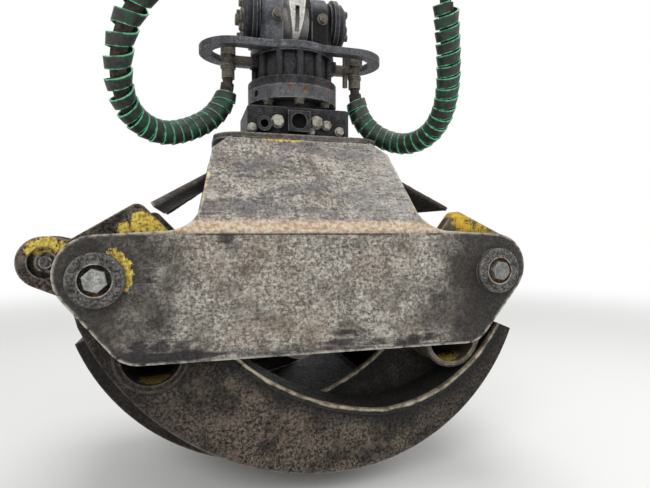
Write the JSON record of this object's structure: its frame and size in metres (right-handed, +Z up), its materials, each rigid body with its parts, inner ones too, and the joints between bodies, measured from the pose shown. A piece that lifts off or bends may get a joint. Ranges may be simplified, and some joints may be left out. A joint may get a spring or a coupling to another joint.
{
  "type": "timber grapple with rotator",
  "caption": "Hydraulic timber grapple: folded plate frame, overlapping curved box claws closed by one cylinder and a tie bar, ribbed rotator, hanger link and guarded hoses.",
  "frame": {"origin": "centre of the crane pin's bore in the head of the hanger link", "axes": "+Z up along the rotator's axis as the grapple hangs, +Y along the crane pin and the jaw pins (the front that the picture shows is at -Y), +X from the outer jaw's pin to the inner jaw's"},
  "size_m": [0.98, 0.586, 1.1787],
  "materials": {
    "worn_plate": "paint worn to bare and rusted steel",
    "claw_steel": "dark weathered steel, inner edges worn bright",
    "jaw_paint": "yellow paint, chipped and grimed",
    "rotator_iron": "charcoal paint, greasy",
    "pin_steel": "turned steel, weathered",
    "fitting_steel": "plated steel, dulled",
    "cylinder_paint": "black paint, scuffed",
    "rod_chrome": "hard chrome",
    "hose_rubber": "matt black",
    "guard_plastic": "spiral wrap, dark face with green edges"
  },
  "bodies": {
    "hanger_link": {"hanger_link": "rotator_iron"},
    "rotator_head": {"head_clevis": "rotator_iron", "swing_pin": "pin_steel", "damper_covers": "rotator_iron", "guard_hoop": "rotator_iron", "rotator_stator": "rotator_iron", "hose_elbow_left": "fitting_steel", "hose_elbow_right": "fitting_steel", "hose_ferrule_left": "fitting_steel", "hose_ferrule_right": "fitting_steel", "hose_left": "hose_rubber", "hose_right": "hose_rubber", "hose_guard_left": "guard_plastic", "hose_guard_right": "guard_plastic", "hose_coupling_left": "fitting_steel", "hose_coupling_right": "fitting_steel"},
    "grapple_frame": {"frame_front_plate": "worn_plate", "frame_rear_plate": "worn_plate", "frame_top_plate": "worn_plate", "frame_roof_braces": "worn_plate", "jaw_pin_left": "pin_steel", "jaw_pin_right": "pin_steel", "jaw_pin_washers": "pin_steel", "jaw_pin_bolts": "pin_steel", "port_block": "rotator_iron", "rotor_flange": "rotator_iron"},
    "outer_jaw": {"outer_claw_front": "claw_steel", "outer_claw_rear": "claw_steel", "outer_hub_tube": "claw_steel", "outer_cylinder_pin": "pin_steel", "outer_ring_pin": "pin_steel"},
    "inner_jaw": {"inner_claw": "claw_steel", "inner_cheek_front": "jaw_paint", "inner_cheek_rear": "jaw_paint", "inner_hub_tube": "claw_steel", "inner_hub_ends": "claw_steel", "inner_pin_ends": "pin_steel"},
    "cylinder_barrel": {"cylinder_barrel": "cylinder_paint"},
    "cylinder_rod": {"cylinder_rod": "rod_chrome"},
    "tie_bar": {"tie_bar": "jaw_paint"}
  },
  "joints": [
    {"name": "head_swing", "type": "hinge", "parent": "hanger_link", "child": "rotator_head", "pos_m": [0, 0, -0.15], "axis": [1, 0, 0], "range_deg": [-40, 40]},
    {"name": "rotation", "type": "hinge", "parent": "rotator_head", "child": "grapple_frame", "pos_m": [0, 0, -0.316], "axis": [0, 0, 1], "continuous": true},
    {"name": "jaw_open", "type": "hinge", "parent": "grapple_frame", "child": "outer_jaw", "pos_m": [-0.39, 0, -0.72], "axis": [0, 1, 0], "range_deg": [0, 83]},
    {"name": "inner_jaw_open", "type": "hinge", "parent": "grapple_frame", "child": "inner_jaw", "pos_m": [0.39, 0, -0.72], "axis": [0, -1, 0], "range_deg": [0, 83]},
    {"name": "barrel_turn", "type": "hinge", "parent": "outer_jaw", "child": "cylinder_barrel", "pos_m": [-0.305, 0, -0.865], "axis": [0, 1, 0], "range_deg": [-83.5, 0]},
    {"name": "rod_slide", "type": "slide", "parent": "cylinder_barrel", "child": "cylinder_rod", "axis": [1, 0, 0], "range_m": [0, 0.438]},
    {"name": "tie_turn", "type": "hinge", "parent": "outer_jaw", "child": "tie_bar", "pos_m": [-0.476, -0.176, -0.691], "axis": [0, 1, 0], "range_deg": [-74, 0]}
  ],
  "couplings": [
    {"joint": "inner_jaw_open", "follows": "jaw_open", "ratio": 1},
    {"joint": "barrel_turn", "follows": "jaw_open", "ratio": -1},
    {"joint": "rod_slide", "follows": "jaw_open", "m_per_rad": 0.3017},
    {"joint": "tie_turn", "follows": "jaw_open", "ratio": -0.88}
  ]
}
